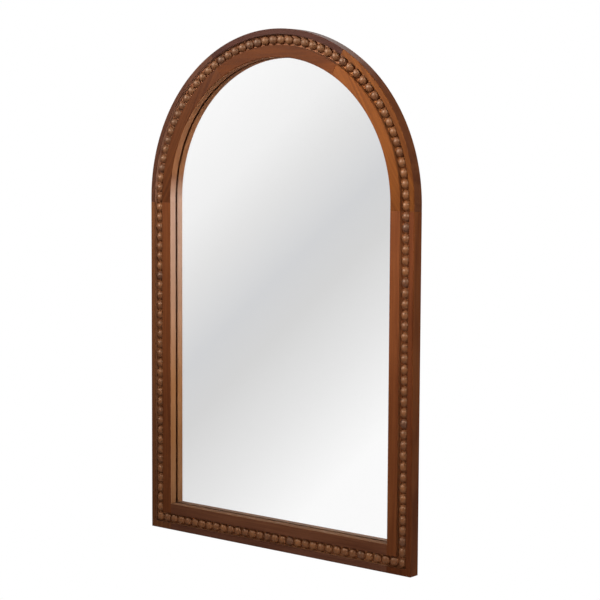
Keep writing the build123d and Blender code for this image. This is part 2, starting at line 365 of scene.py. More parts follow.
@dataclass(frozen=True)
class FrameWood:
    """A stained board of the frame, with its figure along its own grain, and painted light in its colours:
    shade towards the foot, a lift in the channel and a sheen on the reveal.
    """

    name: str
    inner: Colour
    margin: Colour
    # The channel, outer wall and line (floor) colours are lighter than the face: painted light that lifts the
    # shade on the channel's walls and floor.
    channel: Colour
    outer_wall: Colour
    line: Colour
    # The reveal colour is partly a lighter, less stained wood and partly a painted sheen from the mirror's
    # light.
    reveal: Colour
    side: Colour
    grain_angle: float
    board_place_mm: Point
    # Painted shade: the next two fields darken the board towards its foot, over a span of heights from the
    # springline, in place of the lamps' falloff.
    painted_falloff: float = 0.33
    painted_falloff_mm: Pair = (-720.0, 0.0)
    figure: float = 1.0
    # The painted sheen on the reveal fades towards the foot: the next two fields turn the reveal warmer there
    # and carry the left stile's reveal colour up past the springline.
    reveal_warmth: float = 0.0
    reveal_foot: Colour | None = None
    right_lift: float = 0.0
    ring_pitch_mm: float = 6.0
    wander_mm: float = 30.0
    heart_mm: Pair = (34.0, -46.0)
    wander: Speckle = Speckle((70.0, 70.0, 260.0))
    fibre: Speckle = Speckle((0.7, 0.7, 30.0), 3.0, 0.6)
    streak: Speckle = Speckle((4.0, 4.0, 140.0), 3.0, 0.55)
    blotch: Speckle = Speckle((30.0, 30.0, 120.0))
    pores: Speckle = Speckle((0.36, 0.36, 4.2), span=(0.6, 0.72))
    figure_tint: Point = (1.0, 1.25, 1.3)
    # The tint and the reach of the fading painted sheen on the reveal.
    warm_tint: Point = (0.0, 0.27, 0.58)
    warm_reach: float = 2.2
    reveal_calm: float = 0.6
    floor_weight: float = 0.85
    # How much of the painted shade towards the foot the sides and the reveal take.
    side_part: float = 0.5
    reveal_part: float = 1.2
    lip_dark: float = 0.16
    pore_dark: float = 0.25
    back_dark: float = 0.3
    specular: float = 0.14
    shine: Colour = tone(255, 214, 178)
    zones: StainAndPaintedLightZones = StainAndPaintedLightZones()

    def grain(self, graph: ShaderGraph) -> tuple[Link, Link, Link, Link]:
        """The figure of the board.

        Args:
            graph: The nodes of the material.

        Returns:
            The changes of the stain about 0, and the fibres, streaks and pores from 0 to 1.
        """
        place = graph.node(
            "ShaderNodeMapping",
            {"vector_type": "POINT"},
            {
                "Vector": graph.scale(graph.place(), 1 / MM),
                "Rotation": (0.0, -self.grain_angle, 0.0),
                "Location": self.board_place_mm,
            },
        )
        wander = (graph.noise(self.wander, place) - 0.5) * self.wander_mm
        x, y, _ = graph.split(place)
        heart_x, heart_y = self.heart_mm
        from_heart = ((x + wander - heart_x) ** 2.0 + (y - heart_y) ** 2.0) ** 0.5
        rings = graph.node(
            "ShaderNodeTexNoise",
            {"noise_dimensions": "1D"},
            {"W": from_heart / self.ring_pitch_mm, "Scale": 1.0, "Detail": 2.0, "Roughness": 0.5},
        )
        kinds = (self.fibre, self.streak, self.blotch, self.pores)
        fibre, streak, blotch, pores = (graph.noise(kind, place) for kind in kinds)
        weights = (rings, 0.55), (fibre, 0.3), (streak, 0.6), (blotch, 0.5)
        stain = sum((part - 0.5) * weight for part, weight in weights) * self.figure
        return stain, fibre, streak, pores

    def material(self, layout: Layout) -> Material:
        """Builds the finish.

        Args:
            layout: The shared places, for the colours of the channel, the reveal and the sides.

        Returns:
            The material.
        """
        graph = ShaderGraph(self.name)
        zones = self.zones
        stain, fibre, streak, pores = self.grain(graph)
        across, depth, height = graph.split(graph.place())
        above = (height - layout.springline).most(0.0)
        side_inset = (layout.half_width - (across * across + above * above) ** 0.5) / MM
        foot_inset = (height - layout.foot) / MM
        edge = side_inset.least(foot_inset)
        channel_start, channel_end = (
            (side_inset - side / MM).least(foot_inset - foot / MM)
            for side, foot in zip(layout.side_channel, layout.foot_channel)
        )
        from_channel = (channel_start * -1.0).most(channel_end)

        colour = graph.mix(channel_end.rise(*zones.margin_mm), self.margin, self.inner)
        reveal_share = (edge - layout.face_width / MM).rise(*zones.reveal_mm)
        colour = graph.mix(reveal_share, colour, self.reveal)
        side_share = 1.0 - edge.rise(*zones.side_mm)
        colour = graph.mix(side_share, colour, self.side)
        lip_share = 1.0 - from_channel.rise(*zones.lip_mm)
        colour = graph.scale(colour, 1.0 - lip_share * self.lip_dark)
        # Painted light in the channel: lighter walls and a lighter floor lift the shade between the beads.
        below_face = depth.rise_mm(layout.face, zones.wall_depth_mm)
        channel_share = (1.0 - from_channel.rise(*zones.wall_mm)) * below_face
        floor_share = depth.rise_mm(layout.channel_floor, zones.floor_mm) * self.floor_weight
        outer_share = 1.0 - (channel_start + channel_end).rise(*zones.outer_wall_mm)
        walls = graph.mix(outer_share, self.channel, self.outer_wall)
        colour = graph.mix(channel_share, colour, graph.mix(floor_share, walls, self.line))

        foot_share = 1.0 - height.rise_mm(layout.springline, self.painted_falloff_mm)
        # Painted sheen on the reveal, fading towards the foot: the reveal turns warmer there.
        warm = (foot_share * self.warm_reach).least(1.0) * reveal_share * self.reveal_warmth
        stain = stain * (1.0 - reveal_share * self.reveal_calm)
        figured = graph.combine(
            *(stain * gain - warm * loss + 1.0 for gain, loss in zip(self.figure_tint, self.warm_tint))
        )
        colour = graph.mix(1.0, colour, figured, "MULTIPLY")
        colour = graph.scale(colour, 1.0 - pores * self.pore_dark)
        # Painted shade towards the foot, in place of the lamps' falloff: the sides take half of it and the
        # reveal more than twice as much.
        part_share = 1.0 - side_share * self.side_part + reveal_share * self.reveal_part
        colour = graph.scale(colour, 1.0 - foot_share * part_share * self.painted_falloff)
        # Painted sheen: the left stile's reveal colour runs a little way up the arch's reveal from the
        # springline.
        if self.reveal_foot:
            seam_share = (1.0 - height.rise_mm(layout.springline, zones.seam_mm)) * reveal_share
            colour = graph.mix(seam_share, colour, self.reveal_foot)
        right_share = across.rise_mm(0.0, zones.right_mm) * channel_end.rise(*zones.right_inset_mm)
        colour = graph.scale(colour, 1.0 + right_share * self.right_lift)
        back_share = depth.rise_mm(layout.back, zones.back_mm)
        colour = graph.scale(colour, 1.0 - back_share * self.back_dark)
        rougher = (fibre - 0.5) * 0.16 + pores * 0.1 + back_share * 0.2 + reveal_share * 0.2
        relief = fibre * 0.5 - pores * 0.8 + streak * 0.4
        return graph.surface(
            Base_Color=colour,
            Roughness=rougher + 0.44,
            Normal=graph.bump(relief, depth_mm=0.05, strength=0.5),
            Specular_IOR_Level=self.specular,
            Specular_Tint=self.shine,
        )


@dataclass(frozen=True)
class BeadWood:
    """The stained turned beads, each with its own tone, and a lighter tone round its foot that is painted
    light lifting the shade between the beads.
    """

    name: str
    dark: Colour
    middle: Colour
    light: Colour
    valley: Colour
    shine: Colour
    height_mm: float
    springline: float
    # Painted shade: the beads of the crown and of the left of the arch are darker, where the key lamp lights
    # them more, and rougher there too.
    crown_mm: Pair = (-20.0, 100.0)
    right_mm: Pair = (40.0, 200.0)
    right_calm: float = 0.6
    crown_dark: float = 0.34
    pore_dark: float = 0.2
    foot_share: Pair = (0.05, 0.6)
    lot_shift_mm: Pair = (310.0, 170.0)
    fibre: Speckle = Speckle((9.0, 0.55, 0.55), 3.0, 0.6)
    streak: Speckle = Speckle((22.0, 2.6, 2.6), 3.0, 0.6)
    pores: Speckle = Speckle((2.6, 0.3, 0.3), span=(0.6, 0.72))
    specular: float = 0.7

    def material(self) -> Material:
        """Builds the finish from the attributes that the bead runs store."""
        graph = ShaderGraph(self.name)
        turned = graph.node("ShaderNodeAttribute", {"attribute_name": "turned"}, output="Vector")
        lot = graph.node("ShaderNodeAttribute", {"attribute_name": "lot"}, output="Fac")
        shift = graph.combine(*(lot * length for length in self.lot_shift_mm))
        shifted = graph.node("ShaderNodeVectorMath", {"operation": "ADD"}, {0: turned, 1: shift})
        kinds = (self.fibre, self.streak, self.pores)
        fibre, streak, pores = (graph.noise(kind, shifted) for kind in kinds)
        stain = lot + (fibre - 0.5) * 0.2 + (streak - 0.5) * 0.3
        colour = graph.ramp(stain, [(0.02, self.dark), (0.12, self.middle), (1.0, self.light)])
        # Painted light: the foot of each bead takes the lighter valley colour, lifting the shade between the
        # beads.
        foot_share = 1.0 - (graph.split(turned)[2] / self.height_mm).rise(*self.foot_share)
        colour = graph.mix(foot_share, colour, self.valley)
        colour = graph.scale(colour, 1.0 - pores * self.pore_dark)
        # Painted shade on the beads of the crown and the left of the arch, with a rougher finish there.
        across, _, up = graph.split(graph.place())
        left_share = 1.0 - across.rise_mm(0.0, self.right_mm) * self.right_calm
        shade_and_dull = up.rise_mm(self.springline, self.crown_mm) * left_share
        colour = graph.scale(colour, 1.0 - shade_and_dull * self.crown_dark)
        return graph.surface(
            Base_Color=colour,
            Roughness=0.44 + (fibre - 0.5) * 0.1 + shade_and_dull * 0.08,
            Normal=graph.bump(fibre * 0.5 - pores * 0.5, depth_mm=0.04, strength=0.4),
            Specular_IOR_Level=self.specular,
            Specular_Tint=self.shine,
        )


@dataclass(frozen=True)
class BareBeech:
    """Unstained turned beech, for the hidden dowels."""

    name: str
    early: Colour
    late: Colour
    fleck: Speckle = Speckle((0.8, 0.8, 5.0), 3.0)
    band: Speckle = Speckle((3.0, 3.0, 30.0))

    def material(self) -> Material:
        """Builds the finish."""
        graph = ShaderGraph(self.name)
        fleck, band = graph.noise(self.fleck), graph.noise(self.band)
        colour = graph.ramp(fleck * 0.5 + band * 0.5, [(0.35, self.late), (0.65, self.early)])
        return graph.surface(Base_Color=colour, Roughness=0.6 + fleck * 0.15, Specular_IOR_Level=0.3)


@dataclass(frozen=True)
class Silver:
    """The silver coat behind the glass."""

    name: str
    colour: Colour
    haze: Speckle = Speckle((90.0, 90.0, 90.0))
    most_rough: float = 0.006

    def material(self) -> Material:
        """Builds the finish, with a trace of unevenness in the coat."""
        graph = ShaderGraph(self.name)
        roughness = graph.noise(self.haze) * self.most_rough
        return graph.surface(Base_Color=self.colour, Metallic=1.0, Roughness=roughness)


@dataclass(frozen=True)
class ClearGlass:
    """The clear glass of the mirror."""

    name: str
    colour: Colour
    bend: float = 1.52
    haze: Speckle = Speckle((60.0, 60.0, 14.0), 3.0, span=(0.55, 0.9))
    most_rough: float = 0.004

    def material(self) -> Material:
        """Builds the finish, with a faint haze from wiping."""
        graph = ShaderGraph(self.name)
        roughness = graph.noise(self.haze) * self.most_rough
        return graph.surface(
            Base_Color=self.colour, Roughness=roughness, IOR=self.bend, Transmission_Weight=1.0
        )


@dataclass(frozen=True)
class Hardboard:
    """The brown pressed board, with fibres and the print of its screen."""

    name: str
    dark: Colour
    light: Colour
    screen_pitch_mm: float = 1.5
    fibre: Speckle = Speckle((0.5, 3.0, 0.9), 4.0, 0.7)
    cloud: Speckle = Speckle((70.0, 70.0, 50.0), 3.0)
    scuff: Speckle = Speckle((9.0, 9.0, 4.0), 4.0, 0.7, span=(0.62, 0.8))

    def material(self) -> Material:
        """Builds the finish."""
        graph = ShaderGraph(self.name)
        across, _, height = graph.split(graph.place())
        fibre, cloud, scuff = (graph.noise(kind) for kind in (self.fibre, self.cloud, self.scuff))
        colour = graph.ramp(fibre * 0.88 + cloud * 0.12, [(0.34, self.dark), (0.66, self.light)])
        turn = 2 * pi / (self.screen_pitch_mm * MM)
        screen = graph.math("SINE", across * turn) * graph.math("SINE", height * turn)
        return graph.surface(
            Base_Color=graph.scale(colour, 1.0 + scuff * 0.12),
            Roughness=0.72 + (fibre - 0.5) * 0.2,
            Normal=graph.bump(screen * 0.5 + fibre, depth_mm=0.12, strength=0.5),
            Specular_IOR_Level=0.3,
        )


@dataclass(frozen=True)
class ZincPlate:
    """Zinc plated steel, with a drawn or a tumbled look."""

    name: str
    colour: Colour
    dull: Colour
    roughness: float
    cloud: Speckle = Speckle((2.4, 2.4, 2.4), 3.0)
    scratch: Speckle = Speckle((0.25, 0.25, 4.0), 3.0, 0.6)

    def material(self) -> Material:
        """Builds the finish."""
        graph = ShaderGraph(self.name)
        cloud, scratch = graph.noise(self.cloud), graph.noise(self.scratch)
        return graph.surface(
            Base_Color=graph.ramp(cloud * 0.6 + scratch * 0.4, [(0.36, self.dull), (0.62, self.colour)]),
            Metallic=1.0,
            Roughness=self.roughness + (cloud - 0.5) * 0.25 + (scratch - 0.5) * 0.2,
            Normal=graph.bump(scratch, depth_mm=0.02, strength=0.4),
        )


@dataclass(frozen=True)
class SoftPlastic:
    """Rubber or foam with a fine skin."""

    name: str
    colour: Colour
    worn: Colour
    skin_mm: float
    roughness: float

    def material(self) -> Material:
        """Builds the finish."""
        graph = ShaderGraph(self.name)
        cloud_mm = self.skin_mm * 12
        skin = graph.noise(Speckle((self.skin_mm, self.skin_mm, self.skin_mm), 3.0, 0.6))
        cloud = graph.noise(Speckle((cloud_mm, cloud_mm, cloud_mm)))
        return graph.surface(
            Base_Color=graph.ramp(skin * 0.5 + cloud * 0.5, [(0.35, self.colour), (0.7, self.worn)]),
            Roughness=self.roughness + (skin - 0.5) * 0.2,
            Normal=graph.bump(skin, depth_mm=self.skin_mm * 0.3, strength=0.5),
            Specular_IOR_Level=0.3,
        )


class GeometryGraph(Graph):
    """A Geometry Nodes tree with named inputs."""

    def __init__(self, name: str) -> None:
        """Makes an empty tree with one geometry output."""
        tree = bpy.data.node_groups.new(name, "GeometryNodeTree")
        super().__init__(tree)
        tree.interface.new_socket("Geometry", in_out="OUTPUT", socket_type="NodeSocketGeometry")

    def entries(self, kinds: dict[str, str]) -> list[Link]:
        """Adds the tree's inputs.

        Args:
            kinds: The socket type of each input by its name, without the NodeSocket in front.

        Returns:
            The inputs as links.
        """
        for name, kind in kinds.items():
            self.tree.interface.new_socket(name, in_out="INPUT", socket_type="NodeSocket" + kind)
        entry = self.tree.nodes.new("NodeGroupInput")
        return [Link(self, entry.outputs[name]) for name in kinds]

    def store(self, geometry: Link, name: str, value: Link, kind: str, domain: str) -> Link:
        """Geometry with a value kept under a name, for the materials."""
        settings = {"data_type": kind, "domain": domain}
        inputs = {"Geometry": geometry, "Name": name, "Value": value}
        return self.node("GeometryNodeStoreNamedAttribute", settings, inputs)

    def close(self, geometry: Link, finish: Link) -> None:
        """Ends the tree: instances made real, smooth, and dressed in the finish."""
        real = self.node("GeometryNodeRealizeInstances", inputs={"Geometry": geometry})
        smooth = self.node("GeometryNodeSetShadeSmooth", inputs={"Geometry": real})
        dressed = self.node("GeometryNodeSetMaterial", inputs={"Geometry": smooth, "Material": finish})
        self.node("NodeGroupOutput", inputs={"Geometry": dressed})

    def grow(
        self, name: str, points: Sequence[Point], edges: Sequence[tuple[int, int]], values: dict[str, Any]
    ) -> Object:
        """Runs the tree on a base mesh and keeps the result as a plain mesh.

        Args:
            name: The name of the new piece.
            points: The points of the mesh that enters the tree.
            edges: Its edges.
            values: The tree's other inputs by name.

        Returns:
            The new piece, at the origin and without modifiers.
        """
        base = bpy.data.meshes.new(name + "_base")
        base.from_pydata(points, edges, [])
        carrier = link_object(name + "_base", base)
        modifier = carrier.modifiers.new(self.tree.name, "NODES")
        modifier.node_group = self.tree
        for item in self.tree.interface.items_tree:
            if item.item_type == "SOCKET" and item.in_out == "INPUT" and item.name in values:
                modifier[item.identifier] = values[item.name]
        made = plain_mesh(carrier, name)
        bpy.data.objects.remove(carrier)
        return link_object(name, made)


def link_object(name: str, data: bpy.types.ID | None) -> Object:
    """A new object at the origin, in the scene."""
    made = bpy.data.objects.new(name, data)
    bpy.context.scene.collection.objects.link(made)
    return made


def plain_mesh(carrier: Object, name: str) -> Mesh:
    """The mesh of an object with its modifiers worked in.

    Args:
        carrier: The object to evaluate.
        name: The name of the new mesh.

    Returns:
        The new mesh.
    """
    bpy.context.view_layer.update()
    depsgraph = bpy.context.evaluated_depsgraph_get()
    made = bpy.data.meshes.new_from_object(
        carrier.evaluated_get(depsgraph), preserve_all_data_layers=True, depsgraph=depsgraph
    )
    made.name = name
    return made


def soften(mesh: Mesh, sharp_angle: float) -> None:
    """Shades a mesh smooth, but for edges that turn by more than an angle in degrees."""
    mesh.shade_smooth()
    mesh.set_sharp_from_angle(angle=radians(sharp_angle))


def ease_edges(piece: Object, width_mm: float, segments: int, angle: float) -> None:
    """Rounds the sharp edges of a piece and keeps its flats flat.

    Args:
        piece: The piece, whose mesh is replaced.
        width_mm: The width of the rounding.
        segments: The faces across the rounding.
        angle: Edges that turn by more than this, in degrees, are rounded.
    """
    bevel = piece.modifiers.new("Eased edges", "BEVEL")
    bevel.width = width_mm * MM
    bevel.segments = segments
    bevel.limit_method = "ANGLE"
    bevel.angle_limit = radians(angle)
    bevel.use_clamp_overlap = True
    weighted = piece.modifiers.new("Flat flats", "WEIGHTED_NORMAL")
    weighted.keep_sharp = True
    eased = plain_mesh(piece, piece.name)
    piece.modifiers.clear()
    piece.data = eased


def add_bands(form: bmesh.types.BMesh, loops: Sequence[Sequence[Point]]) -> list[list[bmesh.types.BMVert]]:
    """Adds loops of points with a band of faces between each two.

    Args:
        form: The mesh in the making.
        loops: The loops, each with as many points as the first.

    Returns:
        The corners of each loop.
    """
    rows = [[form.verts.new(point) for point in loop] for loop in loops]
    for near, far in zip(rows, rows[1:]):
        for index in range(len(near)):
            form.faces.new([near[index - 1], near[index], far[index], far[index - 1]])
    return rows


def keep_form(form: bmesh.types.BMesh, mesh: Mesh) -> Mesh:
    """Turns the faces of a form outwards and keeps it in a mesh."""
    bmesh.ops.recalc_face_normals(form, faces=form.faces)
    form.to_mesh(mesh)
    form.free()
    return mesh


def loft(name: str, loops: Sequence[Sequence[Point]]) -> Mesh:
    """A closed mesh over loops of points, with its two ends capped."""
    form = bmesh.new()
    rows = add_bands(form, loops)
    for end in (rows[0], rows[-1]):
        form.faces.new(end)
    return keep_form(form, bpy.data.meshes.new(name))


def trace(name: str, loops: Sequence[Sequence[Point]], settings: dict[str, Any]) -> Mesh:
    """The mesh of a curve.

    Args:
        name: The name of the mesh.
        loops: The points of its closed loops.
        settings: The properties of the curve.

    Returns:
        The mesh.
    """
    curve = bpy.data.curves.new(name, "CURVE")
    for key, value in settings.items():
        setattr(curve, key, value)
    for loop in loops:
        spline = curve.splines.new("POLY")
        spline.points.add(len(loop) - 1)
        for point, place in zip(spline.points, loop):
            point.co = (*place, 1.0)
        spline.use_cyclic_u = True
    carrier = link_object(name, curve)
    mesh = plain_mesh(carrier, name)
    bpy.data.objects.remove(carrier)
    return mesh


def dress(piece: Object, finish: Material) -> None:
    """Gives a piece one finish."""
    piece.data.materials.clear()
    piece.data.materials.append(finish)


def seat_piece(piece: Object, body: str, nodes: Sequence[str]) -> None:
    """Reports a piece to the frame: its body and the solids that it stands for.

    Args:
        piece: The finished piece.
        body: The body that it moves with.
        nodes: The solids that it stands for, which may be none.
    """
    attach(piece, body)
    if nodes:
        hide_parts(*nodes)
    faces = len(piece.data.polygons)
    LOG.info("%s: %d faces, rides %s, stands for %s", piece.name, faces, body, list(nodes))


def stand_in(piece: Object, node: str, finish: Material, body: str = "frame") -> None:
    """Dresses a piece and puts it in the place of a solid, on its body."""
    dress(piece, finish)
    seat_piece(piece, body, [node])


class Side(Enum):
    """The two sides of the mirror, with the sign of their X."""

    LEFT = -1
    RIGHT = 1

    @property
    def word(self) -> str:
        """The side's name in the names of pieces."""
        return self.name.lower()


@dataclass
class FrameBoards:
    """The six glued boards of the frame."""

    layout: Layout
    edge_width_mm: float = 0.45
    edge_segments: int = 2
    edge_angle: float = 28.0
    flat_angle: float = 0.4

    def finishes(self) -> dict[str, FrameWood]:
        """The stain, grain and painted light of each board, by the name of its solid."""
        slope = radians(30.0)
        return {
            "left_stile": FrameWood(
                "Left stile stain", inner=tone(104, 55, 27), margin=tone(104, 60, 33),
                channel=tone(112, 70, 43), outer_wall=tone(122, 80, 54), line=tone(166, 106, 67),
                reveal=tone(202, 161, 137), side=tone(96, 54, 28), grain_angle=0.0,
                board_place_mm=(0.0, 0.0, 40.0), painted_falloff=0.24, reveal_warmth=1.0,
            ),
            "right_stile": FrameWood(
                "Right stile stain", inner=tone(115, 61, 31), margin=tone(99, 49, 24),
                channel=tone(120, 72, 42), outer_wall=tone(108, 65, 37), line=tone(166, 101, 64),
                reveal=tone(185, 131, 81), side=tone(111, 59, 27), grain_angle=0.0,
                board_place_mm=(130.0, 20.0, 510.0), painted_falloff=0.4, figure=1.3,
            ),
            "bottom_rail": FrameWood(
                "Rail stain", inner=tone(110, 65, 43), margin=tone(103, 62, 45),
                channel=tone(193, 130, 83), outer_wall=tone(155, 105, 72), line=tone(189, 123, 82),
                reveal=tone(209, 149, 108), side=tone(70, 42, 28), grain_angle=pi / 2,
                board_place_mm=(70.0, 40.0, 900.0), figure=1.3,
            ),
            "arch_left": FrameWood(
                "Left arch stain", inner=tone(80, 39, 15), margin=tone(74, 41, 27),
                channel=tone(138, 95, 72), outer_wall=tone(146, 103, 80), line=tone(185, 123, 88),
                reveal=tone(156, 102, 67), side=tone(96, 54, 33), grain_angle=slope,
                board_place_mm=(210.0, 10.0, 1400.0), figure=1.5, reveal_foot=tone(200, 160, 137),
            ),
            "arch_top": FrameWood(
                "Top arch stain", inner=tone(80, 35, 5), margin=tone(57, 24, 19),
                channel=tone(109, 75, 56), outer_wall=tone(144, 103, 83), line=tone(158, 101, 68),
                reveal=tone(156, 100, 67), side=tone(89, 57, 44), grain_angle=pi / 2,
                board_place_mm=(330.0, 30.0, 2100.0), figure=1.5, right_lift=0.3,
            ),
            "arch_right": FrameWood(
                "Right arch stain", inner=tone(116, 61, 21), margin=tone(107, 56, 17),
                channel=tone(104, 61, 35), outer_wall=tone(126, 73, 40), line=tone(163, 99, 55),
                reveal=tone(170, 110, 74), side=tone(98, 54, 30), grain_angle=-slope,
                board_place_mm=(460.0, 50.0, 2800.0), figure=1.2, painted_falloff=0.16,
                painted_falloff_mm=(-60.0, 240.0),
            ),
        }

    def board(self, node: str) -> Object:
        """A board with its edges eased, from the shape of its solid.

        Args:
            node: The name of the solid.

        Returns:
            The new piece.
        """
        form = bmesh.new()
        form.from_mesh(frame["nodes"][node].data)
        bmesh.ops.remove_doubles(form, verts=form.verts, dist=MERGE_DISTANCE)
        bmesh.ops.dissolve_limit(
            form, angle_limit=radians(self.flat_angle), verts=form.verts, edges=form.edges
        )
        mesh = bpy.data.meshes.new(node + "_wood")
        form.to_mesh(mesh)
        form.free()
        soften(mesh, self.edge_angle)
        piece = link_object(node + "_wood", mesh)
        ease_edges(piece, self.edge_width_mm, self.edge_segments, self.edge_angle)
        return piece

    def build(self) -> None:
        """Builds and dresses every board."""
        for node, finish in self.finishes().items():
            stand_in(self.board(node), node, finish.material(self.layout))


@dataclass
class BeadRuns:
    """The four rows of turned half beads in the channel."""

    layout: Layout
    side_beads: int = 33
    arch_beads: int = 50
    foot_beads: int = 31
    sides: int = 18
    bands: int = 8
    cut_width_share: float = 0.793
    arch_steps: int = 360

    def tree(self) -> GeometryGraph:
        """The tree that sets beads along a path, each with its own tone."""
        graph = GeometryGraph("Bead run")
        path, count, diameter, rise, first_width, seed, finish = graph.entries({
            "Path": "Geometry", "Beads": "Int", "Diameter": "Float", "Rise": "Float",
            "First width share": "Float", "Seed": "Int", "Finish": "Material",
        })
        ball = graph.node(
            "GeometryNodeMeshUVSphere",
            inputs={"Segments": self.sides, "Rings": self.bands, "Radius": 1.0},
            output="Mesh",
        )
        x, y, z = graph.split(graph.node("GeometryNodeInputPosition"))
        place = graph.combine(x * diameter * 0.5, y * diameter * 0.5, z.most(0.0) * rise)
        dome = graph.node("GeometryNodeSetPosition", inputs={"Geometry": ball, "Position": place})
        in_mm = graph.scale(graph.node("GeometryNodeInputPosition"), 1 / MM)
        dome = graph.store(dome, "turned", in_mm, "FLOAT_VECTOR", "POINT")
        line = graph.node("GeometryNodeMeshToCurve", inputs={"Mesh": path})
        spots = graph.node("GeometryNodeResampleCurve", {"mode": "COUNT"}, {"Curve": line, "Count": count})
        run_x, _, run_z = graph.split(graph.node("GeometryNodeInputTangent"))
        facing = graph.combine(pi / 2, graph.math("ARCTAN2", run_z, run_x) * -1.0)
        is_first = graph.math("LESS_THAN", graph.node("GeometryNodeInputIndex"), 0.5)
        size = graph.combine(1.0, 1.0 - is_first * (1.0 - first_width), 1.0)
        beads = graph.node(
            "GeometryNodeInstanceOnPoints",
            inputs={"Points": spots, "Instance": dome, "Rotation": facing, "Scale": size},
        )
        lot = graph.node("FunctionNodeRandomValue", {"data_type": "FLOAT"}, {"Seed": seed}, output=1)
        graph.close(graph.store(beads, "lot", lot, "FLOAT", "INSTANCE"), finish)
        return graph

    def arch(self) -> list[Point]:
        """The path of the arch from the first bead to the last, right to left.

        Returns:
            Points along the short straight ends and the half circle between them.
        """
        layout = self.layout
        radius = layout.half_width - sum(layout.side_channel) / 2
        straight_end = layout.springline - layout.stile_top
        length = pi * radius + 2 * straight_end
        half_pitch = length / self.arch_beads / 2
        points = []
        for along in steps(half_pitch, length - half_pitch, self.arch_steps):
            run = along - straight_end
            angle = min(max(run / radius, 0.0), pi)
            drop = min(run, 0.0) + min(pi * radius - run, 0.0)
            height = layout.springline + radius * sin(angle) + drop
            points.append((radius * cos(angle), layout.channel_floor, height))
        return points

    def rows(self) -> dict[str, tuple[list[Point], int, float]]:
        """Each row's path, its number of beads and the width share of its first bead."""
        layout, radius = self.layout, self.radius()
        made = {}
        for side in Side:
            node = "beads_" + side.word
            low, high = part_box(node)
            middle = side.value * (layout.half_width - sum(layout.side_channel) / 2)
            ends = [(middle, layout.channel_floor, z) for z in (low.z + radius, high.z - radius)]
            made[node] = (ends, self.side_beads, self.cut_width_share if side is Side.RIGHT else 1.0)
        low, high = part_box("beads_bottom")
        middle = (low.z + high.z) / 2
        ends = [(x, layout.channel_floor, middle) for x in (low.x + radius, high.x - radius)]
        made["beads_bottom"] = (ends, self.foot_beads, 1.0)
        made["beads_arch"] = (self.arch(), self.arch_beads, 1.0)
        return made

    def radius(self) -> float:
        """The radius of a bead, from the width of the left row."""
        low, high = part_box("beads_left")
        return (high.x - low.x) / 2

    def build(self) -> None:
        """Builds and dresses the four rows."""
        low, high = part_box("beads_left")
        rise = high.y - low.y
        finish = BeadWood(
            "Bead stain", dark=tone(92, 57, 40), middle=tone(107, 63, 36), light=tone(123, 75, 42),
            valley=tone(136, 84, 52), shine=tone(255, 222, 188), height_mm=rise / MM,
            springline=self.layout.springline,
        ).material()
        graph = self.tree()
        for seed, (node, (points, count, first)) in enumerate(self.rows().items()):
            edges = [(step, step + 1) for step in range(len(points) - 1)]
            values = {
                "Beads": count, "Diameter": 2 * self.radius(), "Rise": rise,
                "First width share": first, "Seed": seed, "Finish": finish,
            }
            piece = graph.grow(node + "_turned", points, edges, values)
            seat_piece(piece, "frame", [node])


@dataclass
class Glazing:
    """The glass, its silver coat, and what holds them from behind."""

    layout: Layout
    silver_thickness_mm: float = 0.1
    silver_overlap_mm: float = 0.02
    silver_margin_mm: float = 0.4
    corner: float = 6.0 * MM
    corner_steps: int = 8
    arc_steps: int = 128

    def outline(self, half: float, foot: float) -> list[Pair]:
        """The arched outline of a pane or board, with its two lower corners rounded.

        Args:
            half: Half the width.
            foot: The height of the lower edge.

        Returns:
            Points across and up, anticlockwise from the lower right corner.
        """
        corner = self.corner
        return (
            arc((half - corner, foot + corner), corner, (-pi / 2, 0.0), self.corner_steps)
            + arc((0.0, self.layout.springline), half, (0.0, pi), self.arc_steps)
            + arc((corner - half, foot + corner), corner, (pi, 1.5 * pi), self.corner_steps)
        )

    def build(self) -> None:
        """Builds the silver coat and dresses the solids that keep their shape."""
        low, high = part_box("mirror_glass")
        margin = self.silver_margin_mm * MM
        outline = self.outline(high.x - margin, low.z + margin)
        front = high.y - self.silver_overlap_mm * MM
        depths = (front, front + self.silver_thickness_mm * MM)
        coat = loft("silver_coat", [[(x, depth, z) for x, z in outline] for depth in depths])
        piece = link_object("silver_coat", coat)
        dress(piece, Silver("Silver coat", WHITE).material())
        seat_piece(piece, "frame", [])
        kept = {
            "mirror_glass": ClearGlass("Clear glass", WHITE),
            "slip_sheet": SoftPlastic(
                "White foam", tone(224, 224, 219), tone(236, 236, 232), skin_mm=0.8, roughness=0.8
            ),
            "setting_blocks": SoftPlastic(
                "Black rubber", tone(28, 28, 28), tone(44, 43, 42), skin_mm=0.4, roughness=0.7
            ),
        }
        for node, finish in kept.items():
            dress(frame["nodes"][node], finish.material())


class HeadStyle(Enum):
    """The two kinds of screw head."""

    COUNTERSUNK = "countersunk"
    PAN = "pan"


